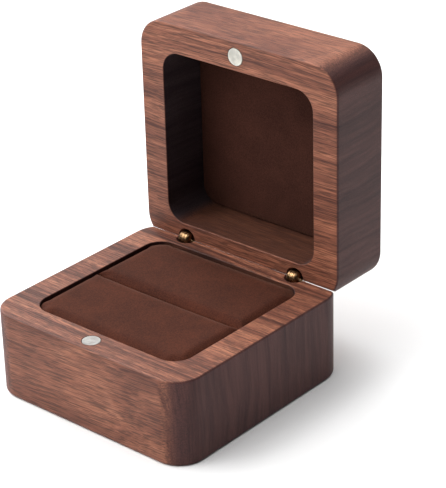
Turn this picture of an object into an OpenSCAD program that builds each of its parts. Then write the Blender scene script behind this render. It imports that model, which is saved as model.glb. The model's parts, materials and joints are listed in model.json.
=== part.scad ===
// Walnut ring box: a base and a lid, joined by two small barrel hinges and
// shut by a pair of magnets. The base holds a slit ring cushion in two halves.
// Origin: centre of the base's underside. +X right, +Y to the hinges, +Z up.
// The box is drawn with its lid open at a right angle.

/* [Box] */
// Width of the box, along the hinge line
box_w = 56; // [52:1:64]
// Depth of the box, front to back
box_d = 55; // [52:1:64]
// Height of the base
base_h = 20.3; // [19:0.1:26]
// Height of the lid
lid_h = 16.2; // [15.5:0.1:22]
// Radius of the upright corners
corner_r = 6.6; // [5:0.1:9]
// Radius of the eased outer edges
edge_r = 0.8; // [0.4:0.1:1.2]
// Gap between the two rims when the box is shut
seam_gap = 0.1; // [0.1:0.05:0.4]

/* [Hollows] */
// Thickness of the side walls
side_wall = 6.7; // [6:0.1:8]
// Thickness of the front wall, which holds the magnet
front_wall = 6.8; // [6:0.1:8]
// Thickness of the rear wall, which holds the hinges
rear_wall = 6.5; // [6.2:0.1:8]
// Radius of the hollows' upright corners
hollow_r = 4.6; // [3:0.1:6]
// Wood left under the base's hollow
base_floor = 3.3; // [2:0.1:5]
// Wood left above the lid's hollow
lid_roof = 2.8; // [2:0.1:4]

/* [Magnets] */
// Diameter of the two disc magnets
magnet_d = 4; // [3:0.5:5]
// Thickness of the two disc magnets
magnet_t = 2.5; // [1.5:0.5:4]
// Distance from the front face to the middle of a magnet
magnet_inset = 3.5; // [3.2:0.1:4]

/* [Hinges] */
// Distance of each hinge from the middle of the box
hinge_x = 16; // [12:0.5:19]
// Distance of the hinge line from the rear face
hinge_inset = 2.9; // [2.7:0.1:3.2]
// Slope of the bevels behind the hinge line, which let the lid swing back
bevel_angle = 55; // [50:1:60]
// How far in front of the hinge line the bevels start
bevel_lead = 0.2; // [0.1:0.05:0.4]
// Diameter of the barrels pressed into the rims
barrel_d = 4; // [4:0.1:4.2]
// Length of each barrel
barrel_l = 8; // [6:0.5:9]
// Radius of the round knuckle
knuckle_r = 1.7; // [1.6:0.05:1.8]
// Diameter of the hinge pins
pin_d = 1; // [0.8:0.1:1.2]

/* [Cushion and lining] */
// Height of the cushion's middle above the base's rim, which it nearly fills
cushion_crown = -0.1; // [-2:0.1:0]
// How much lower the cushion is at its edges
cushion_fall = 1.4; // [0.8:0.1:2.5]
// Width of the slit that holds the ring
slit_w = 0.3; // [0.2:0.1:1]
// Thickness of the suede on the cushion and in the lid
suede_t = 0.6; // [0.4:0.1:1]
// Thickness of the card under the cushion and in the lid
card_t = 0.8; // [0.5:0.1:1.2]

/* [Hidden] */
$fn = 96;

walnut = "#6d4733";
walnut_light = "#7a503a";
suede = "#4a2618";
foam = "#d9cfc0";
card = "#8b7a66";
brass = "#8a6a3c";
nickel = "#c9c7c2";

// A cut runs this far past the solid that it opens
past = 1;
// Glue line round each part that is set in wood
fit_gap = 0.03;
// Running clearance between the moving hinge parts
run_gap = 0.05;

hollow_w = box_w - 2 * side_wall;
hollow_d = box_d - front_wall - rear_wall;
hollow_y = (front_wall - rear_wall) / 2;

pivot_y = box_d / 2 - hinge_inset;
pivot_z = base_h + seam_gap / 2;

magnet_y = magnet_inset - box_d / 2;

// The barrels start this far from the hinge line
barrel_start = knuckle_r + 0.5;
barrel_r = barrel_d / 2;
barrel_edge = 0.45;
mouth_r = barrel_r + 0.4;
knuckle_w = 3.4;
fork_edge = 1.1;
tongue_edge = 0.15;
tongue_w = 1.0;
shank_w = 1.8;
shank_t = 1.9;
shank_l = barrel_start + 4.4;
rivet_z = barrel_start + 2.6;
rivet_d = 0.9;

cushion_gap = 0.15;
cushion_bottom = base_floor + card_t;
cushion_top = base_h + cushion_crown;
crown_r = (pow(hollow_w / 2, 2) + pow(cushion_fall, 2)) / (2 * cushion_fall);
lining_gap = 0.15;

// ---- outlines ----

// A rectangle with round corners, centred
module round_rect(w, d, r) {
    square([w - 2 * r, d], center = true);
    square([w, d - 2 * r], center = true);
    for (sx = [-1, 1], sy = [-1, 1])
        translate([sx * (w / 2 - r), sy * (d / 2 - r)])
            circle(r);
}

// The outline of the hollows, drawn in by a gap all round
module hollow_outline(gap = 0) {
    translate([0, hollow_y])
        round_rect(hollow_w - 2 * gap, hollow_d - 2 * gap, hollow_r - gap);
}

// ---- wood ----

// A block with round upright corners and eased edges, its top face at z = 0
module eased_block(w, d, h, r, e) {
    translate([0, 0, -h / 2]) {
        rotate([90, 0, 90])
            linear_extrude(w - 2 * r, center = true)
                round_rect(d, h, e);
        rotate([90, 0, 0])
            linear_extrude(d - 2 * r, center = true)
                round_rect(w, h, e);
        for (sx = [-1, 1], sy = [-1, 1])
            translate([sx * (w / 2 - r), sy * (d / 2 - r), 0])
                rotate_extrude()
                    intersection() {
                        round_rect(2 * r, h, e);
                        translate([0, -h / 2])
                            square([r, h]);
                    }
    }
}

// Half a box with its rim up at z = 0: hollow, magnet pocket, hinge bevel and hinge holes
module box_half(h, hollow_depth) {
    difference() {
        eased_block(box_w, box_d, h, corner_r, edge_r);
        translate([0, 0, -hollow_depth])
            linear_extrude(hollow_depth + past)
                hollow_outline();
        translate([0, magnet_y, -magnet_t - fit_gap])
            cylinder(d = magnet_d + 4 * fit_gap, h = magnet_t + past);
        translate([0, pivot_y - bevel_lead, 0])
            rotate([90 - bevel_angle, 0, 0])
                translate([-box_w, 0, -box_d])
                    cube([2 * box_w, box_d, 2 * box_d]);
        for (side = [-1, 1])
            translate([side * hinge_x, pivot_y, 0])
                hinge_hole();
    }
}

// A blind hole for a barrel, with a countersunk mouth
module hinge_hole() {
    translate([0, 0, -barrel_start - barrel_l])
        cylinder(r = barrel_r + fit_gap, h = barrel_start + barrel_l + past);
    translate([0, 0, barrel_r - mouth_r])
        cylinder(r1 = barrel_r, r2 = mouth_r + past, h = mouth_r - barrel_r + past);
}

// ---- hinge parts, with the hinge line along X through the origin ----

// A barrel below the hinge line, slotted for a shank of a given width
module barrel(slot_w) {
    difference() {
        translate([0, 0, -barrel_start - barrel_l])
            rotate_extrude()
                polygon([
                    [0, 0],
                    [barrel_r - barrel_edge, 0],
                    [barrel_r, barrel_edge],
                    [barrel_r, barrel_l - barrel_edge],
                    [barrel_r - barrel_edge, barrel_l],
                    [0, barrel_l]
                ]);
        translate([-slot_w / 2 - run_gap, -barrel_r - past, -shank_l - run_gap])
            cube([slot_w + 2 * run_gap, 2 * (barrel_r + past), shank_l]);
        translate([0, 0, -rivet_z])
            cross_rod(rivet_d, 2 * barrel_r + past);
    }
}

// A rod across the hinge, along X
module cross_rod(d, l) {
    rotate([0, 90, 0])
        cylinder(d = d, h = l, center = true);
}

// A disc round the hinge line, its rim rounded over towards both ends
module knuckle(w, edge) {
    rotate([0, 90, 0])
        rotate_extrude()
            intersection() {
                round_rect(2 * knuckle_r, w, edge);
                translate([0, -w / 2])
                    square([knuckle_r, w]);
            }
}

// The fork that stands in the base's barrel and carries the pin
module fork() {
    difference() {
        union() {
            knuckle(knuckle_w, fork_edge);
            translate([-knuckle_w / 2 + 0.3, -shank_t / 2, -barrel_start])
                cube([knuckle_w - 0.6, shank_t, knuckle_r]);
            translate([-shank_w / 2, -shank_t / 2, -shank_l])
                cube([shank_w, shank_t, knuckle_r + 3]);
        }
        translate([-tongue_w / 2 - run_gap, -2 * knuckle_r, -knuckle_r - run_gap])
            cube([tongue_w + 2 * run_gap, 4 * knuckle_r, 4 * knuckle_r]);
        cross_rod(pin_d, 2 * knuckle_w);
        translate([0, 0, -rivet_z])
            cross_rod(rivet_d, knuckle_w);
    }
}

// The tongue that stands in the lid's barrel and turns on the pin
module tongue() {
    difference() {
        union() {
            knuckle(tongue_w, tongue_edge);
            translate([-tongue_w / 2, -shank_t / 2, -shank_l])
                cube([tongue_w, shank_t, shank_l]);
        }
        cross_rod(pin_d + 2 * run_gap, 2 * knuckle_w);
        translate([0, 0, -rivet_z])
            cross_rod(rivet_d, knuckle_w);
    }
}

// A rivet that holds a fork or tongue in its barrel
module rivet() {
    translate([0, 0, -rivet_z])
        cross_rod(rivet_d, 2 * barrel_r - 0.4);
}

// ---- cushion and lining ----

// The crowned ring cushion before it is slit, drawn in by a gap all round
module cushion_shape(gap) {
    intersection() {
        translate([0, 0, cushion_bottom - past])
            linear_extrude(base_h)
                hollow_outline(cushion_gap + gap);
        translate([0, hollow_y, cushion_top - crown_r])
            sphere(crown_r - gap, $fn = 256);
    }
}

// The space in front of the slit (side = -1) or behind it (side = 1)
module cushion_side(side, gap, bottom) {
    translate([-box_w / 2, side > 0 ? hollow_y + slit_w / 2 + gap : hollow_y - box_d - slit_w / 2 - gap, bottom])
        cube([box_w, box_d, base_h + past]);
}

module cushion_foam(side) {
    intersection() {
        cushion_shape(suede_t);
        cushion_side(side, suede_t, cushion_bottom);
    }
}

module cushion_cover(side) {
    difference() {
        intersection() {
            cushion_shape(0);
            cushion_side(side, 0, cushion_bottom);
        }
        intersection() {
            cushion_shape(suede_t);
            cushion_side(side, suede_t, cushion_bottom - past);
        }
    }
}

// ---- places ----

// Moves a part that is drawn on the hinge line to one of the two hinges
module at_hinge(side) {
    translate([side * hinge_x, pivot_y, pivot_z])
        children();
}

// Turns a part that is drawn rim up into its place on the open lid
module on_lid() {
    translate([0, pivot_y, pivot_z])
        rotate([-90, 0, 0])
            mirror([0, 0, 1])
                translate([0, -pivot_y, seam_gap / -2])
                    children();
}

// ---- the nodes ----

module base_block() {
    color(walnut)
        translate([0, 0, base_h])
            box_half(base_h, base_h - base_floor);
}

module lid_block() {
    color(walnut_light)
        on_lid()
            box_half(lid_h, lid_h - lid_roof);
}

module magnet() {
    translate([0, magnet_y, -magnet_t])
        cylinder(d = magnet_d, h = magnet_t);
}

module base_magnet() {
    color(nickel)
        translate([0, 0, base_h])
            magnet();
}

module lid_magnet() {
    color(nickel)
        on_lid()
            magnet();
}

module cushion_backing_card() {
    color(card)
        translate([0, 0, base_floor])
            linear_extrude(card_t)
                hollow_outline(cushion_gap);
}

module cushion_front_foam() {
    color(foam)
        cushion_foam(-1);
}

module cushion_front_cover() {
    color(suede)
        cushion_cover(-1);
}

module cushion_rear_foam() {
    color(foam)
        cushion_foam(1);
}

module cushion_rear_cover() {
    color(suede)
        cushion_cover(1);
}

module lid_lining_card() {
    color(card)
        on_lid()
            translate([0, 0, lid_roof - lid_h])
                linear_extrude(card_t)
                    hollow_outline(lining_gap + suede_t);
}

module lid_lining_suede() {
    color(suede)
        on_lid()
            translate([0, 0, lid_roof - lid_h])
                difference() {
                    linear_extrude(card_t + suede_t)
                        hollow_outline(lining_gap);
                    translate([0, 0, -past])
                        linear_extrude(card_t + past)
                            hollow_outline(lining_gap + suede_t);
                }
}

module hinge_base_barrel(side) {
    color(brass)
        at_hinge(side)
            barrel(shank_w);
}

module hinge_base_fork(side) {
    color(brass)
        at_hinge(side)
            fork();
}

module hinge_base_rivet(side) {
    color(brass)
        at_hinge(side)
            rivet();
}

module hinge_lid_barrel(side) {
    color(brass)
        at_hinge(side)
            rotate([90, 0, 0])
                barrel(tongue_w);
}

module hinge_lid_tongue(side) {
    color(brass)
        at_hinge(side)
            rotate([90, 0, 0])
                tongue();
}

module hinge_lid_rivet(side) {
    color(brass)
        at_hinge(side)
            rotate([90, 0, 0])
                rivet();
}

module hinge_pin(side) {
    color(brass)
        at_hinge(side)
            cross_rod(pin_d, knuckle_w - 0.2);
}

base_block();
lid_block();
base_magnet();
lid_magnet();
cushion_backing_card();
cushion_front_foam();
cushion_front_cover();
cushion_rear_foam();
cushion_rear_cover();
lid_lining_card();
lid_lining_suede();
hinge_base_barrel(-1);  // left_hinge_base_barrel
hinge_base_fork(-1);  // left_hinge_base_fork
hinge_base_rivet(-1);  // left_hinge_base_rivet
hinge_lid_barrel(-1);  // left_hinge_lid_barrel
hinge_lid_tongue(-1);  // left_hinge_lid_tongue
hinge_lid_rivet(-1);  // left_hinge_lid_rivet
hinge_pin(-1);  // left_hinge_pin
hinge_base_barrel(1);  // right_hinge_base_barrel
hinge_base_fork(1);  // right_hinge_base_fork
hinge_base_rivet(1);  // right_hinge_base_rivet
hinge_lid_barrel(1);  // right_hinge_lid_barrel
hinge_lid_tongue(1);  // right_hinge_lid_tongue
hinge_lid_rivet(1);  // right_hinge_lid_rivet
hinge_pin(1);  // right_hinge_pin
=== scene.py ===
# %% [markdown]
# # A walnut ring box
#
# The box is two hollowed blocks of walnut, a base and a lid, on two small barrel hinges. The base holds a
# suede ring cushion with a slit across it, the lid is lined with the same suede, and two disc magnets keep
# it shut. The frame gives every size and place. This lesson makes the surfaces that a buyer would see and
# touch, one piece at a time: first the room it stands in, then wood, suede, and metal.

# %% Load the frame
import json
import math

import bmesh
import bpy
from mathutils import Matrix, Vector


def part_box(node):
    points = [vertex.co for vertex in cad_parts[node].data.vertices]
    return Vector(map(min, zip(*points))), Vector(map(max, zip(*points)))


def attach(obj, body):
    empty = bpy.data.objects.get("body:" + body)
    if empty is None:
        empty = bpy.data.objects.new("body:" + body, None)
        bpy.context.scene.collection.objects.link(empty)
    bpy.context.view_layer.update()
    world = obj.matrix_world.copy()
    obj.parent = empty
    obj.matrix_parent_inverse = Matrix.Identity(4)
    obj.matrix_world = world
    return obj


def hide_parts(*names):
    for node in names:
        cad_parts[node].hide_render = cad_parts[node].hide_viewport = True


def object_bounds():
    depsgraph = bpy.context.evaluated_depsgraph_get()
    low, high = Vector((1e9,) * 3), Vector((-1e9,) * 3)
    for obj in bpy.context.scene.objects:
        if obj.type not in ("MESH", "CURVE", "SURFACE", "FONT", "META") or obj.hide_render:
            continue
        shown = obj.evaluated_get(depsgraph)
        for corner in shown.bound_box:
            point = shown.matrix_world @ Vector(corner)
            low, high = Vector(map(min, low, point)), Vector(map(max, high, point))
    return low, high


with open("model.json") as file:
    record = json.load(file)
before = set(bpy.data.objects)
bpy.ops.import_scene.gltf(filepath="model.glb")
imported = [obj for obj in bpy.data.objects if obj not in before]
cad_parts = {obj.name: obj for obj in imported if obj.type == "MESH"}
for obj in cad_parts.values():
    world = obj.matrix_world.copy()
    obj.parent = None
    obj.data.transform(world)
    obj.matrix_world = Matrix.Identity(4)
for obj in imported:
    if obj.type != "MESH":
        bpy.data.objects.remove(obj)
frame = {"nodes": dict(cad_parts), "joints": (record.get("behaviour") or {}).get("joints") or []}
cad_low, cad_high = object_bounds()
MM = 0.001
print("the box is", [round(s / MM, 1) for s in cad_high - cad_low], "mm, lid open")

# %% [markdown]
# ## Camera
#
# A long lens from a little above suits a small product: the walls stay nearly parallel, and both the
# cushion and the lid's lining are in view. The camera looks at a point near the middle of the open box,
# and leans over by a degree or two, as a hand-held one does.

# %% Camera
AZIMUTH, ELEVATION, LEAN = 41.2, 26.56, -1.6
LENS_MM = 149.1
DISTANCE = 440 * MM
AIM = (cad_low + cad_high) / 2 + Vector((7.3, 4.0, -4.7)) * MM


def direction(azimuth, elevation):
    """The way from the object to something seen at this azimuth and elevation, in degrees."""
    a, e = math.radians(azimuth), math.radians(elevation)
    return Vector((math.sin(a) * math.cos(e), -math.cos(a) * math.cos(e), math.sin(e)))


back = direction(AZIMUTH, ELEVATION)
lens = bpy.data.cameras.new("product_camera")
lens.lens = LENS_MM
camera = bpy.data.objects.new("product_camera", lens)
bpy.context.scene.collection.objects.link(camera)
camera.location = AIM + back * DISTANCE
turn = (-back).to_track_quat("-Z", "Y").to_matrix() @ Matrix.Rotation(math.radians(LEAN), 3, "Z")
camera.rotation_euler = turn.to_euler()
bpy.context.scene.camera = camera
print("camera at", [round(c / MM) for c in camera.location], "mm")

# %% [markdown]
# ## Floor and light
#
# The box stands on white paper, with softboxes above it, behind it, and on its left and front, and none on
# its right. The wood on the right then falls to a deep brown, and so does the inside of the lid, deepened
# further by painted shade in the wood's end grain and hollows, while the light from above and behind keeps
# the paper white and the shadow short and soft.

# %% Helpers for a fresh start
def deselect():
    """An operator acts on all that is selected, so nothing may be."""
    if bpy.context.object and bpy.context.object.mode != "OBJECT":
        bpy.ops.object.mode_set(mode="OBJECT")
    bpy.ops.object.select_all(action="DESELECT")


def only(piece):
    """Selects one piece and makes it the active one."""
    deselect()
    piece.select_set(True)
    bpy.context.view_layer.objects.active = piece
    return piece


# %% Floor
PAPER_SIZE = 4.0
deselect()
bpy.ops.mesh.primitive_plane_add(size=PAPER_SIZE, location=(0, 0, 0))
floor = bpy.context.object
floor.name = "paper_floor"
paper = bpy.data.materials.new("white_paper")
paper.use_nodes = True
paper_skin = paper.node_tree.nodes["Principled BSDF"]
paper_skin.inputs["Base Color"].default_value = (0.9, 0.9, 0.9, 1)
paper_skin.inputs["Roughness"].default_value = 0.9
paper_skin.inputs["Specular IOR Level"].default_value = 0.1
floor.data.materials.append(paper)
print(floor.name, PAPER_SIZE, "m wide")

# %% Lights
MIDDLE = Vector((0, 0, 30)) * MM


def softbox(name, azimuth, elevation, distance, width, height, watts):
    """A flat lamp that faces the box."""
    lamp = bpy.data.lights.new(name, "AREA")
    lamp.shape = "RECTANGLE"
    lamp.size, lamp.size_y = width, height
    lamp.energy = watts
    lamp_object = bpy.data.objects.new(name, lamp)
    bpy.context.scene.collection.objects.link(lamp_object)
    way = direction(azimuth, elevation)
    lamp_object.location = MIDDLE + way * distance
    lamp_object.rotation_euler = (-way).to_track_quat("-Z", "Y").to_euler()
    return lamp_object


softbox("key_softbox", azimuth=-50, elevation=52, distance=1.3, width=0.7, height=0.7, watts=7.5)
softbox("front_softbox", azimuth=-30, elevation=45, distance=1.3, width=1.2, height=1.2, watts=11.5)
softbox("left_softbox", azimuth=-100, elevation=30, distance=1.3, width=1.0, height=0.8, watts=18)
softbox("top_softbox", azimuth=0, elevation=88, distance=1.4, width=1.6, height=1.6, watts=7.5)
softbox("rear_softbox", azimuth=170, elevation=60, distance=1.4, width=1.6, height=1.2, watts=10)
softbox("reflector_card", azimuth=-139, elevation=26, distance=1.5, width=1.2, height=0.7, watts=2.5)
room = bpy.data.worlds.new("white_room")
room.use_nodes = True
room_light = room.node_tree.nodes["Background"]
room_light.inputs["Color"].default_value = (1, 1, 1, 1)
room_light.inputs["Strength"].default_value = 0.03
bpy.context.scene.world = room
bpy.context.scene.view_settings.view_transform = "Standard"

# %% [markdown]
# ## Small tools
#
# Every solid piece starts as a cube of its own size. The helpers below put the cube in place, pick edges
# and faces by where they are, and settle the finished piece: its object goes to the origin, its place
# stays in its mesh, and it is told which body carries it. That keeps the wood's pattern still when the
# lid moves.

# %% Helpers for modelling
TOUCH = 1e-6


def start_block(name, low, high):
    """A cube from one corner to the other, ready to be shaped."""
    deselect()
    low, high = Vector(low), Vector(high)
    bpy.ops.mesh.primitive_cube_add(size=1, location=(low + high) / 2)
    piece = bpy.context.object
    piece.name = piece.data.name = name
    piece.scale = high - low
    bpy.ops.object.transform_apply(location=True, rotation=True, scale=True)
    return piece


def start_rod(name, radius, depth, location, sides=48):
    """An upright round bar, centred on its location."""
    deselect()
    bpy.ops.mesh.primitive_cylinder_add(vertices=sides, radius=radius, depth=depth, location=location)
    piece = bpy.context.object
    piece.name = piece.data.name = name
    bpy.ops.object.transform_apply(location=True, rotation=True, scale=True)
    return piece


def pick_edges(piece, rule):
    """Edit mode, with just the edges selected whose two ends suit the rule."""
    only(piece)
    bpy.ops.object.mode_set(mode="EDIT")
    bpy.ops.mesh.select_mode(type="EDGE")
    bpy.ops.mesh.select_all(action="DESELECT")
    mesh = bmesh.from_edit_mesh(piece.data)
    for edge in mesh.edges:
        edge.select_set(rule(edge.verts[0].co, edge.verts[1].co))
    bmesh.update_edit_mesh(piece.data)


def pick_faces(piece, rule):
    """Edit mode, with just the faces selected whose middle and normal suit the rule."""
    only(piece)
    bpy.ops.object.mode_set(mode="EDIT")
    bpy.ops.mesh.select_mode(type="FACE")
    bpy.ops.mesh.select_all(action="DESELECT")
    mesh = bmesh.from_edit_mesh(piece.data)
    for face in mesh.faces:
        face.select_set(rule(face.calc_center_median(), face.normal))
    bmesh.update_edit_mesh(piece.data)


def round_edges(piece, rule, radius, segments):
    """Rounds the edges that suit the rule."""
    pick_edges(piece, rule)
    bpy.ops.mesh.bevel(offset=radius, segments=segments, affect="EDGES")
    bpy.ops.object.mode_set(mode="OBJECT")


def apply_modifier(piece, kind, **settings):
    """Adds a modifier and applies it at once."""
    only(piece)
    modifier = piece.modifiers.new(kind.lower(), kind)
    for name, value in settings.items():
        setattr(modifier, name, value)
    bpy.ops.object.modifier_apply(modifier=modifier.name)


def cut(piece, *cutters):
    """Takes the cutters out of the piece, and throws them away."""
    for cutter in cutters:
        apply_modifier(piece, "BOOLEAN", operation="DIFFERENCE", object=cutter, solver="EXACT")
        bpy.data.objects.remove(cutter)


def upright(a, b):
    """True for an edge that runs straight up."""
    return abs(a.x - b.x) < TOUCH and abs(a.y - b.y) < TOUCH


def at_height(z):
    """A rule for the edges that lie at one height."""
    return lambda a, b: abs(a.z - z) < TOUCH and abs(b.z - z) < TOUCH


def settle(piece, body, material, slot, *nodes):
    """Dresses a finished piece and hands it to the frame."""
    if not piece.data.materials:
        piece.data.materials.append(material)
    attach(piece, body)
    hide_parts(*nodes)
    low = [min(v.co[i] for v in piece.data.vertices) for i in range(3)]
    high = [max(v.co[i] for v in piece.data.vertices) for i in range(3)]
    print(piece.name, [round((h - l) / MM, 2) for l, h in zip(low, high)], "mm")
    return piece


# %% Helpers for materials
def new_material(name):
    """A material, and a function that adds nodes to it."""
    material = bpy.data.materials.new(name)
    material.use_nodes = True
    tree = material.node_tree

    def add(kind, settings=None, **inputs):
        """Adds a node. A socket given as an input is linked, and any other value is set."""
        node = tree.nodes.new(kind)
        for key, value in (settings or {}).items():
            setattr(node, key, value)
        for key, value in inputs.items():
            socket = node.inputs[int(key[1:]) if key[0] == "_" else key.replace("_", " ")]
            if isinstance(value, bpy.types.NodeSocket):
                tree.links.new(value, socket)
            else:
                socket.default_value = value
        return node

    return material, tree.nodes["Principled BSDF"], add, tree.links.new


def ramp(add, factor, stops):
    """A colour ramp with the given (place, colour) stops."""
    node = add("ShaderNodeValToRGB", Fac=factor)
    elements = node.color_ramp.elements
    while len(elements) < len(stops):
        elements.new(0.5)
    for element, (place, colour) in zip(elements, stops):
        element.position = place
        element.color = (*colour, 1)
    return node.outputs["Color"]


def calculate(add, operation, a, b=0.0):
    """One step of arithmetic."""
    return add("ShaderNodeMath", {"operation": operation}, _0=a, _1=b).outputs[0]


def spread(add, value, start, end, low=0.0, high=1.0, curve="LINEAR"):
    """Stretches the values from start to end so that they run from low to high."""
    return add("ShaderNodeMapRange", {"interpolation_type": curve}, Value=value, From_Min=start,
               From_Max=end, To_Min=low, To_Max=high).outputs[0]


def blend(add, kind, factor, colour, other):
    """Mixes or multiplies one colour with another."""
    return add("ShaderNodeMix", {"data_type": "RGBA", "blend_type": kind}, _0=factor, _6=colour,
               _7=other).outputs[2]


# %% [markdown]
# ## Walnut
#
# Walnut is brown in layers: each year adds a band, and the bands show as stripes where a face cuts across
# them. Thin pores run along the grain as short dark dashes. So one three-dimensional pattern does all the
# faces at once: noise that is stretched far along X, the grain, and changes fast across Y, through the
# years. End faces then show soft upright bands, and rims show streaks, as sawn wood does. End faces are also
# tinted darker and cooler, partly as end grain is and partly as painted shade. The lid has the same pattern,
# turned with it, and moved along so that the two halves are not twins. The routed walls of the hollows get
# painted shade: each half has a second, darker version of its wood for them.

# %% Walnut colours
WALNUT_TONES = (
    (0.39, (0.060, 0.019, 0.012)),
    (0.47, (0.155, 0.053, 0.032)),
    (0.53, (0.242, 0.089, 0.051)),
    (0.62, (0.362, 0.146, 0.084)),
)
PORE_COLOUR = (0.040, 0.015, 0.011, 1)
# End grain is tinted darker and cooler, partly as end grain is and partly as painted shade on the sides that
# face away from the lights.
END_GRAIN_AND_SHADE_TINT = (0.345, 0.315, 0.475)
DRIFT = (0, 4, 3)
print("walnut runs through", len(WALNUT_TONES), "tones")


# %% Walnut pattern
def grain_noise(add, place, scale, detail=2.0, roughness=0.5):
    """Noise whose fineness, per mm, is given along the grain, across the years and through the board."""
    stretched = add("ShaderNodeVectorMath", {"operation": "MULTIPLY"}, _0=place, _1=scale)
    return add("ShaderNodeTexNoise", Vector=stretched.outputs[0], Scale=1.0, Detail=detail,
               Roughness=roughness)


def wandering_grain(add, turned, tilt, shift):
    """Coordinates in mm along the grain, pushed gently aside so that the streaks aren't ruler straight."""
    place = add("ShaderNodeTexCoord").outputs["Object"]
    grain = add("ShaderNodeMapping", Vector=place, Scale=(1000, 1000, 1000), Rotation=(turned, tilt, 0),
                Location=shift).outputs["Vector"]
    drift = grain_noise(add, grain, (0.018, 0.04, 0.05), detail=1.0).outputs["Color"]
    centred = add("ShaderNodeVectorMath", {"operation": "SUBTRACT"}, _0=drift, _1=(0.5, 0.5, 0.5))
    return add("ShaderNodeVectorMath", {"operation": "MULTIPLY_ADD"}, _0=centred.outputs[0],
               _1=DRIFT, _2=grain).outputs[0]


def end_grain_share(add):
    """1 on the faces that cut across the grain, 0 along it, and a soft change round the corners."""
    across = add("ShaderNodeSeparateXYZ", Vector=add("ShaderNodeTexCoord").outputs["Normal"]).outputs["X"]
    return spread(add, calculate(add, "ABSOLUTE", across), 0.1, 0.7, curve="SMOOTHSTEP")


# %% Walnut material
def make_walnut(name, turned, tilt, shift, figure, stain_and_shade=1.0, end_grain_and_shade_tint=END_GRAIN_AND_SHADE_TINT):
    """Walnut whose grain runs nearly along X. turned lays the open lid's block flat, tilt leans the grain
    and shift moves it, figure is how strongly the yearly bands show, stain_and_shade darkens the wood: as
    its stain, and as painted shade in the hollows. end_grain_and_shade_tint colours its end grain darker and
    cooler, partly as end grain is and partly as painted shade on the sides that face away from the lights."""
    material, skin, add, link = new_material(name)
    grain = wandering_grain(add, turned, tilt, shift)
    bands = grain_noise(add, grain, (0.008, 0.33, 0.018)).outputs["Fac"]
    streaks = grain_noise(add, grain, (0.020, 1.2, 0.075), detail=3.5, roughness=0.66).outputs["Fac"]
    fibres = grain_noise(add, grain, (0.24, 6.0, 6.0)).outputs["Fac"]
    fine = grain_noise(add, grain, (0.17, 4.8, 4.8), detail=1.5, roughness=0.55).outputs["Fac"]
    coarse = grain_noise(add, grain, (0.11, 3.1, 3.1), roughness=0.6).outputs["Fac"]
    end_grain = end_grain_share(add)

    tone = calculate(add, "MULTIPLY", bands, 0.45)
    tone = calculate(add, "ADD", tone, calculate(add, "MULTIPLY", streaks, 0.55))
    evenness = calculate(add, "ADD", calculate(add, "MULTIPLY", end_grain, figure - 0.4), 1 - figure)
    tone = add("ShaderNodeMix", {"data_type": "FLOAT"}, _0=evenness, _2=tone, _3=0.5).outputs[0]
    colour = ramp(add, tone, [(at, [c * stain_and_shade for c in shade]) for at, shade in WALNUT_TONES])
    colour = blend(add, "MULTIPLY", 1.0, colour, spread(add, fibres, 0.3, 0.7, 0.66, 1.45))

    fine_pores = spread(add, fine, 0.54, 0.60)
    pores = calculate(add, "MAXIMUM", fine_pores, spread(add, coarse, 0.55, 0.62))
    depth = calculate(add, "SUBTRACT", 0.62, calculate(add, "MULTIPLY", end_grain, 0.52))
    colour = blend(add, "MIX", calculate(add, "MULTIPLY", pores, depth), colour, PORE_COLOUR)
    # The end-grain faces are multiplied by the tint: part real end grain, part painted shade.
    link(blend(add, "MULTIPLY", end_grain, colour, (*end_grain_and_shade_tint, 1)), skin.inputs["Base Color"])

    link(spread(add, tone, 0.3, 0.7, 0.6, 0.48), skin.inputs["Roughness"])
    relief = calculate(add, "SUBTRACT", calculate(add, "MULTIPLY", fibres, 0.25), fine_pores)
    bump = add("ShaderNodeBump", Height=relief, Strength=0.35, Distance=0.06 * MM)
    link(bump.outputs[0], skin.inputs["Normal"])
    skin.inputs["Specular IOR Level"].default_value = 0.28
    return material


# %% The box's woods
base_cut = {"turned": 0, "tilt": 0.06, "shift": (0, 0, 0)}
lid_cut = {"turned": math.pi / 2, "tilt": 0.02, "shift": (31, 17, 9)}
walnut_base = make_walnut("walnut_base", **base_cut, figure=0.95, stain_and_shade=0.93)
# The lid's end grain is tinted darker still, as painted shade on its unlit side.
walnut_lid = make_walnut("walnut_lid", **lid_cut, figure=0.6, stain_and_shade=1.06,
                         end_grain_and_shade_tint=(0.262, 0.239, 0.361))
# The hollows' copies of the wood are darker, as painted shade in the recesses; the lid's hollow also has its
# end grain tinted cold, as painted shade on its unlit inner wall.
base_hollow_shade_wood = make_walnut("walnut_base_hollow_shade", **base_cut, figure=0.6, stain_and_shade=0.4)
lid_hollow_shade_wood = make_walnut("walnut_lid_hollow_shade", **lid_cut, figure=0.5, stain_and_shade=0.4,
                              end_grain_and_shade_tint=(0.40, 0.72, 1.40))
print("materials:", walnut_base.name, walnut_lid.name, base_hollow_shade_wood.name, lid_hollow_shade_wood.name)

# %% [markdown]
# ## Wood blocks
#
# Base and lid are the same thing at two heights: a block with round corners, a hollow, a steep bevel along
# the hinge edge that lets the lid swing back, two hinge holes and a magnet pocket. A router and a sander
# make the real ones. Here bevels round the corners and ease the edges, a bisect planes the hinge edge, and
# booleans do the drilling. A second stroke of the plane, slightly askew, opens a thin gap in the hinge seam
# towards the right, as hand finishing leaves it. One function makes the block with its rim up at height 0,
# and then it is laid in place.

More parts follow.
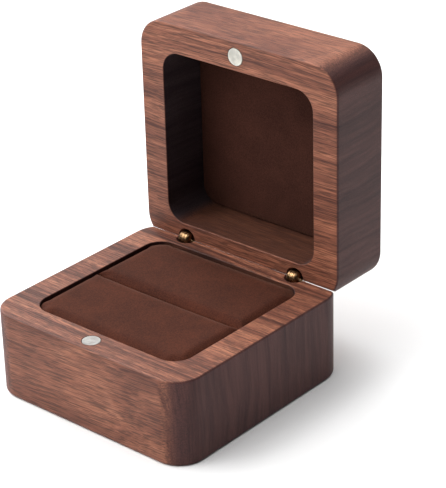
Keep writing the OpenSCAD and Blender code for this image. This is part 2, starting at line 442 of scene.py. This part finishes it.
# %% Sizes of the wood
CORNER_R = 6.6 * MM
EASED_R, EASED_RIM_R = 0.8 * MM, 0.48 * MM
HOLLOW_R = 4.6 * MM
HOLLOW_RIM_R = 0.2 * MM
SIDE_WALL, FRONT_WALL, REAR_WALL = 6.7 * MM, 6.8 * MM, 6.5 * MM
BEVEL_ANGLE = math.radians(55)
WORN_LEAD, WORN_SKEW = -0.07 * MM, 0.0074
MAGNET_HOLE_R, MAGNET_HOLE_DEPTH = 2.15 * MM, 2.5 * MM
HINGE_HOLE_R, HINGE_HOLE_DEPTH, HINGE_MOUTH = 2.03 * MM, 10.2 * MM, 0.4 * MM
SLACK = 0.01 * MM

hinge_line = Vector(frame["joints"][0]["pos_m"])
base_low, base_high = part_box("base_block")
lid_low, lid_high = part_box("lid_block")
hinge_x = (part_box("right_hinge_pin")[0].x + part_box("right_hinge_pin")[1].x) / 2
magnet_y = (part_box("base_magnet")[0].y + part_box("base_magnet")[1].y) / 2
base_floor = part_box("cushion_backing_card")[0].z
lid_roof = lid_high.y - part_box("lid_lining_card")[1].y
print("hinges at", round(hinge_x / MM, 1), "mm from the middle")
print("floor", round(base_floor / MM, 2), "mm and roof", round(lid_roof / MM, 2), "mm thick")


# %% Cutters
def hollow_cutter(name, bottom, top):
    """A block with the outline of the hollow."""
    cutter = start_block(name, (base_low.x + SIDE_WALL, base_low.y + FRONT_WALL, bottom),
                         (base_high.x - SIDE_WALL, base_high.y - REAR_WALL, top))
    round_edges(cutter, upright, HOLLOW_R, 12)
    return cutter


def hinge_drill(x):
    """A drill whose top widens into a countersink, to take out one hinge hole."""
    length = HINGE_HOLE_DEPTH - HINGE_MOUTH
    drill = start_rod("drill", HINGE_HOLE_R, length, (x, hinge_line.y, -HINGE_MOUTH - length / 2))
    pick_faces(drill, lambda middle, normal: normal.z > 0.9)
    bpy.ops.mesh.extrude_region_move(TRANSFORM_OT_translate={"value": (0, 0, HINGE_MOUTH + MM)})
    wider = (HINGE_HOLE_R + HINGE_MOUTH + MM) / HINGE_HOLE_R
    bpy.ops.transform.resize(value=(wider, wider, 1), center_override=(x, hinge_line.y, 0))
    bpy.ops.object.mode_set(mode="OBJECT")
    return drill


def within_hollow(point):
    """True where a point is inside the hollow's outline, or on it."""
    reach_x = base_high.x - SIDE_WALL + SLACK
    reach_y = max(-base_low.y - FRONT_WALL, base_high.y - REAR_WALL) + SLACK
    return abs(point.x) < reach_x and abs(point.y) < reach_y


# %% Half a box
def plane_hinge_edge(half, skew):
    """Takes off the hinge edge at a steep angle, and then goes over it once more, slightly askew."""
    only(half)
    bpy.ops.object.mode_set(mode="EDIT")
    for lead, tilt in ((0, 0), (WORN_LEAD, skew)):
        bpy.ops.mesh.select_all(action="SELECT")
        bpy.ops.mesh.bisect(plane_co=(0, hinge_line.y - lead, 0), use_fill=True, clear_outer=True,
                            plane_no=(tilt, math.sin(BEVEL_ANGLE), math.cos(BEVEL_ANGLE)))
    bpy.ops.object.mode_set(mode="OBJECT")


def carve_half(name, height, hollow_depth, wood, shaded_hollow_wood, skew):
    """Half a box, rim up at height 0, hinges towards +Y."""
    half = start_block(name, (base_low.x, base_low.y, -height), (base_high.x, base_high.y, 0))
    round_edges(half, upright, CORNER_R, 16)
    round_edges(half, at_height(-height), EASED_R, 5)
    round_edges(half, at_height(0), EASED_RIM_R, 4)
    plane_hinge_edge(half, skew)
    cut(half, hollow_cutter("hollow", -hollow_depth, MM))
    at_rim = at_height(0)
    round_edges(half, lambda a, b: at_rim(a, b) and within_hollow(a) and within_hollow(b), HOLLOW_RIM_R, 3)
    cut(half, start_rod("magnet_drill", MAGNET_HOLE_R, 2 * MAGNET_HOLE_DEPTH, (0, magnet_y, 0)),
        hinge_drill(-hinge_x), hinge_drill(hinge_x))
    half.data.materials.append(wood)
    half.data.materials.append(shaded_hollow_wood)
    # The hollow's walls and floor take the darker copy of the wood, as painted shade.
    for face in half.data.polygons:
        if within_hollow(face.center) and -hollow_depth - SLACK < face.center.z < -HOLLOW_RIM_R / 2:
            face.material_index = 1
    only(half)
    bpy.ops.object.shade_smooth_by_angle(angle=math.radians(40))
    apply_modifier(half, "WEIGHTED_NORMAL", keep_sharp=True)
    return half


# %% Base block
base_block = carve_half("walnut_base_block", base_high.z, base_high.z - base_floor,
                        walnut_base, base_hollow_shade_wood, WORN_SKEW)
base_block.location.z = base_high.z
only(base_block)
bpy.ops.object.transform_apply(location=True, rotation=True, scale=True)
settle(base_block, "base", walnut_base, "walnut", "base_block")

# %% Lid block
# The half is turned round and tipped back, so that its rim faces the front and its hinge edge is below.
lid_height = lid_high.y - lid_low.y
lid_block = carve_half("walnut_lid_block", lid_height, lid_height - lid_roof,
                       walnut_lid, lid_hollow_shade_wood, -WORN_SKEW)
lid_block.rotation_euler = (-math.pi / 2, 0, math.pi)
lid_block.location = (0, lid_low.y, hinge_line.z + hinge_line.y)
only(lid_block)
bpy.ops.object.transform_apply(location=True, rotation=True, scale=True)
settle(lid_block, "lid", walnut_lid, "walnut", "lid_block")

# %% [markdown]
# ## Suede
#
# The cushion and the lining are covered in microfibre suede. Its nap is too short to see as hairs, but it
# leans in patches, so the colour shifts softly from place to place, and it brightens at a glancing angle.
# A slow noise gives the patches, a fine one gives the fibre ends, and sheen gives the glancing light.

# %% Suede material
def make_suede(name, deep, light, patch_mm):
    """Short-napped suede, between a deep and a light brown."""
    material, skin, add, link = new_material(name)
    place = add("ShaderNodeTexCoord").outputs["Object"]
    patches = add("ShaderNodeTexNoise", Vector=place, Scale=1000 / patch_mm, Detail=4.0, Roughness=0.6,
                  Distortion=0.6)
    fibre = add("ShaderNodeTexNoise", Vector=place, Scale=3400.0, Detail=3.0, Roughness=0.7)
    mixed = add("ShaderNodeMix", {"data_type": "FLOAT"}, _0=0.68, _2=patches.outputs["Fac"],
                _3=fibre.outputs["Fac"])
    colour = ramp(add, mixed.outputs[0], [(0.38, deep), (0.62, light)])
    link(colour, skin.inputs["Base Color"])
    bump = add("ShaderNodeBump", Height=fibre.outputs["Fac"], Strength=0.5, Distance=0.06 * MM)
    link(bump.outputs[0], skin.inputs["Normal"])
    skin.inputs["Roughness"].default_value = 0.92
    skin.inputs["Specular IOR Level"].default_value = 0.15
    skin.inputs["Sheen Weight"].default_value = 0.2
    skin.inputs["Sheen Roughness"].default_value = 0.45
    skin.inputs["Sheen Tint"].default_value = (0.5, 0.27, 0.18, 1)
    return material


# %% The box's suedes
cushion_suede = make_suede("cushion_suede", (0.028, 0.0063, 0.0029), (0.073, 0.0180, 0.0079), 7)
lining_suede = make_suede("lining_suede", (0.034, 0.0105, 0.0067), (0.071, 0.024, 0.0155), 10)
print("materials:", cushion_suede.name, lining_suede.name)

# %% Foam material
def make_foam(name):
    """Open-celled foam, cream coloured."""
    material, skin, add, link = new_material(name)
    cells = add("ShaderNodeTexVoronoi", Vector=add("ShaderNodeTexCoord").outputs["Object"], Scale=2200.0)
    link(ramp(add, cells.outputs["Distance"], [(0.1, (0.48, 0.43, 0.33)), (0.6, (0.72, 0.67, 0.55))]),
         skin.inputs["Base Color"])
    skin.inputs["Roughness"].default_value = 0.95
    return material


cream_foam = make_foam("cream_foam")
print("material:", cream_foam.name)

# %% [markdown]
# ## Ring cushion
#
# Each half of the cushion is a block of foam in a tight suede cover, pressed into the hollow beside the
# other half, and a ring stands in the slit between them. The walls hold its sides, and the foam pushes its
# top up. Cloth simulation gives that shape: a block with rounded shoulders has its sides pinned, and its
# top is blown up like a balloon. It starts a little too large for its place, and is then pressed flat
# against the walls. Cloth works best at furniture size, so it is done at twenty times the real size, and
# brought back.

# %% Cushion sizes
SLIT, CUSHION_GAP = 0.12 * MM, 0.12 * MM
LIP_R, SHOULDER_R, LIP_REACH = 0.5 * MM, 0.8 * MM, 0.2 * MM
OVERSIZE, TOP_DROP = 0.8 * MM, 0.45 * MM
BIG = 20.0
VOXEL = 0.65 * MM
FREE_DEPTH, MOST_SWELL = 1.2 * MM, 0.7 * MM
PRESSURE, LAST_STEP = 4.0, 20
SUEDE_T, COVER_T = 0.6 * MM, 0.54 * MM
print("cushion", round((base_high.x - base_low.x - 2 * (SIDE_WALL + CUSHION_GAP)) / MM, 1), "mm wide")


# %% Cloth simulation
def simulate(pad):
    """Blows up all of a pad but its pinned sides, like a balloon."""
    cloth = pad.modifiers.new("cloth", "CLOTH")
    cloth.settings.quality = 6
    cloth.settings.mass = 0.3
    cloth.settings.tension_stiffness = cloth.settings.compression_stiffness = 20
    cloth.settings.bending_stiffness = 2.0
    cloth.settings.use_pressure = True
    cloth.settings.uniform_pressure_force = PRESSURE
    cloth.settings.vertex_group_mass = "sides"
    cloth.settings.effector_weights.gravity = 0
    for step in range(1, LAST_STEP + 1):
        bpy.context.scene.frame_set(step)
    bpy.ops.object.modifier_apply(modifier="cloth")
    bpy.context.scene.frame_set(1)


def resize(pad, factor):
    """Makes a pad larger or smaller, about its own origin."""
    only(pad)
    pad.scale = (factor, factor, factor)
    bpy.ops.object.transform_apply(location=False, rotation=False, scale=True)


def blow_up(pad):
    """Swells a pad's top by cloth simulation, its sides held, and returns how far it moved at most."""
    resize(pad, BIG)
    apply_modifier(pad, "REMESH", mode="VOXEL", voxel_size=VOXEL * BIG)
    top = max(v.co.z for v in pad.data.vertices)
    held = pad.vertex_groups.new(name="sides")
    held.add([v.index for v in pad.data.vertices if v.co.z < top - FREE_DEPTH * BIG], 1.0, "REPLACE")
    start = [v.co.copy() for v in pad.data.vertices]
    simulate(pad)
    most = 0.0
    for vertex, was in zip(pad.data.vertices, start):
        move = vertex.co - was
        most = max(most, move.length / BIG)
        if move.length > MOST_SWELL * BIG:
            vertex.co = was + move.normalized() * MOST_SWELL * BIG
    resize(pad, 1 / BIG)
    return most


# %% Pad
def inside_hollow(point, gap, side):
    """The nearest place to a point that is inside the hollow, on its own side of the slit."""
    half_x = base_high.x - SIDE_WALL - gap
    half_y = (base_high.y - base_low.y - FRONT_WALL - REAR_WALL) / 2 - gap
    mid_y = (FRONT_WALL - REAR_WALL) / 2
    x = max(-half_x, min(half_x, point.x))
    y = max(-half_y, min(half_y, point.y - mid_y))
    y = max(y, SLIT / 2) if side > 0 else min(y, -SLIT / 2)
    corner_r = HOLLOW_R - gap
    corner = Vector((abs(x) - half_x + corner_r, abs(y) - half_y + corner_r))
    if corner.x > 0 and corner.y > 0 and corner.length > corner_r:
        corner *= corner_r / corner.length
        x = math.copysign(half_x - corner_r + corner.x, x)
        y = math.copysign(half_y - corner_r + corner.y, y)
    return Vector((x, y + mid_y, point.z))


def make_pad(name, node, side):
    """One half of the cushion: side is -1 for the front half and 1 for the rear."""
    low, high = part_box(node)
    wall_y = high.y + OVERSIZE if side > 0 else low.y - OVERSIZE
    slit_y = low.y - OVERSIZE / 2 if side > 0 else high.y + OVERSIZE / 2
    top = high.z - TOP_DROP
    pad = start_block(name, (low.x - OVERSIZE, min(wall_y, slit_y), low.z),
                      (high.x + OVERSIZE, max(wall_y, slit_y), top))
    at_top = at_height(top)
    round_edges(pad, lambda a, b: upright(a, b) and abs(a.y - wall_y) < TOUCH, HOLLOW_R, 10)
    round_edges(pad, lambda a, b: at_top(a, b) and max(abs(a.y - slit_y), abs(b.y - slit_y)) >= TOUCH,
                SHOULDER_R, 5)
    round_edges(pad, lambda a, b: at_top(a, b) and abs(a.y - b.y) < TOUCH and abs(a.y - slit_y) < LIP_REACH,
                LIP_R, 4)
    most = blow_up(pad)
    print(name, "swelled by up to", round(most / MM, 2), "mm")
    apply_modifier(pad, "SMOOTH", factor=0.5, iterations=3)
    apply_modifier(pad, "SUBSURF", levels=1, render_levels=1)
    for vertex in pad.data.vertices:
        vertex.co = inside_hollow(vertex.co, CUSHION_GAP, side)
        vertex.co.z = max(vertex.co.z, low.z)
    only(pad)
    bpy.ops.object.shade_smooth()
    return pad


# %% Foam core and cover
def core_of(pad, name, node):
    """The foam that fills a pad: a copy, drawn in by the cover's thickness, its foot kept flat."""
    only(pad)
    bpy.ops.object.duplicate()
    core = bpy.context.object
    core.name = core.data.name = name
    bpy.ops.object.mode_set(mode="EDIT")
    bpy.ops.mesh.select_all(action="SELECT")
    bpy.ops.transform.shrink_fatten(value=-SUEDE_T)
    bpy.ops.object.mode_set(mode="OBJECT")
    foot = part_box(node)[0].z
    for vertex in core.data.vertices:
        if vertex.co.z < foot + 1.2 * SUEDE_T:
            vertex.co.z = foot
    return core


def open_cover(pad):
    """Turns a pad into a cover: its foot is taken off, and the rest gets the thickness of suede."""
    foot = min(v.co.z for v in pad.data.vertices)
    pick_faces(pad, lambda middle, normal: middle.z < foot + 0.1 * MM and normal.z < -0.9)
    bpy.ops.mesh.delete(type="FACE")
    bpy.ops.object.mode_set(mode="OBJECT")
    apply_modifier(pad, "SOLIDIFY", thickness=COVER_T, offset=-1)


# %% Both halves of the cushion
for place, side in (("front", -1), ("rear", 1)):
    pad = make_pad(f"cushion_{place}_suede", f"cushion_{place}_cover", side)
    core = core_of(pad, f"cushion_{place}_core", f"cushion_{place}_foam")
    open_cover(pad)
    settle(pad, "base", cushion_suede, "suede", f"cushion_{place}_cover")
    settle(core, "base", cream_foam, "foam", f"cushion_{place}_foam")

# %% [markdown]
# ## Metal
#
# The magnets are plated in satin nickel, the base's given a darker copy of it than the lid's, and the hinges
# are brass that has darkened with age. Metal shows what is round it, so most of its look comes from the
# lights. The rest is fine wear: a roughness that is uneven, and a tone that wanders between dull and bright.

# %% Metal materials
def make_metal(name, dull, bright, roughness, wear_scale):
    """Worn metal, between a dull and a bright tone."""
    material, skin, add, link = new_material(name)
    place = add("ShaderNodeTexCoord").outputs["Object"]
    wear = add("ShaderNodeTexNoise", Vector=place, Scale=wear_scale, Detail=5.0, Roughness=0.65)
    link(ramp(add, wear.outputs["Fac"], [(0.35, dull), (0.62, bright)]), skin.inputs["Base Color"])
    rough = spread(add, wear.outputs["Fac"], 0.3, 0.7, roughness + 0.12, roughness - 0.06)
    link(rough, skin.inputs["Roughness"])
    bump = add("ShaderNodeBump", Height=wear.outputs["Fac"], Strength=0.15, Distance=0.03 * MM)
    link(bump.outputs[0], skin.inputs["Normal"])
    skin.inputs["Metallic"].default_value = 1.0
    return material


nickel = make_metal("satin_nickel", (0.46, 0.45, 0.41), (0.60, 0.58, 0.52), 0.45, 600)
darker_nickel = make_metal("darker_nickel", (0.30, 0.29, 0.28), (0.42, 0.41, 0.39), 0.45, 600)
brass = make_metal("aged_brass", (0.10, 0.056, 0.027), (0.36, 0.22, 0.11), 0.26, 700)
print("materials:", nickel.name, darker_nickel.name, brass.name)


# %% Hinges and magnets
def dress(node, material):
    """Gives a CAD node that stays on show its finish."""
    piece = frame["nodes"][node]
    piece.data.materials.clear()
    piece.data.materials.append(material)
    print(node, "in", material.name)


for node in sorted(frame["nodes"]):
    if "_hinge_" in node:
        dress(node, brass)
dress("lid_magnet", nickel)
dress("base_magnet", darker_nickel)

# %% [markdown]
# ## Card
#
# Grey card is hidden under the cushion and behind the lining. It is a flat piece cut to the hollow's
# outline, so it keeps its plain shape, and gets the speckle of pressed pulp.

# %% Card
def make_card(name):
    """Pressed grey card."""
    material, skin, add, link = new_material(name)
    place = add("ShaderNodeTexCoord").outputs["Object"]
    pulp = add("ShaderNodeTexNoise", Vector=place, Scale=1500.0, Detail=6.0)
    link(ramp(add, pulp.outputs["Fac"], [(0.35, (0.20, 0.16, 0.11)), (0.65, (0.33, 0.27, 0.19))]),
         skin.inputs["Base Color"])
    skin.inputs["Roughness"].default_value = 0.9
    return material


grey_card = make_card("grey_card")
for node in ("cushion_backing_card", "lid_lining_card"):
    dress(node, grey_card)

# %% [markdown]
# ## Lid lining
#
# The lid is lined with suede, wrapped tight over a card, so its edge turns back in a small soft round and
# its face is a little fuller in the middle. A block with the outline of the hollow gives the wrap. Its face
# is extruded in a few steps, each a little smaller and further out, its back is taken off, and the rest gets
# the thickness of suede. An inset would cross itself in the round corners, and scaled steps can't.

# %% Lid lining
LINING_GAP = 0.15 * MM
LINING_EDGE_R = 0.5 * MM
FULLER_STEPS = ((0.93, 0.12 * MM), (0.8, 0.1 * MM), (0.5, 0.05 * MM))

low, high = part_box("lid_lining_suede")
lining = start_block("lid_lining", low, high)
round_edges(lining, lambda a, b: abs(a.x - b.x) < TOUCH and abs(a.z - b.z) < TOUCH,
            HOLLOW_R - LINING_GAP, 12)
round_edges(lining, lambda a, b: abs(a.y - low.y) < TOUCH and abs(b.y - low.y) < TOUCH, LINING_EDGE_R, 4)
pick_faces(lining, lambda middle, normal: normal.y < -0.9 and middle.y < low.y + TOUCH)
for share, rise in FULLER_STEPS:
    bpy.ops.mesh.extrude_region_move(TRANSFORM_OT_translate={"value": (0, -rise, 0)})
    bpy.ops.transform.resize(value=(share, 1, share), center_override=(low + high) / 2)
bpy.ops.object.mode_set(mode="OBJECT")
pick_faces(lining, lambda middle, normal: normal.y > 0.9)
bpy.ops.mesh.delete(type="FACE")
bpy.ops.object.mode_set(mode="OBJECT")
apply_modifier(lining, "SOLIDIFY", thickness=COVER_T, offset=-1)
only(lining)
bpy.ops.object.shade_smooth_by_angle(angle=math.radians(50))
settle(lining, "lid", lining_suede, "suede", "lid_lining_suede")
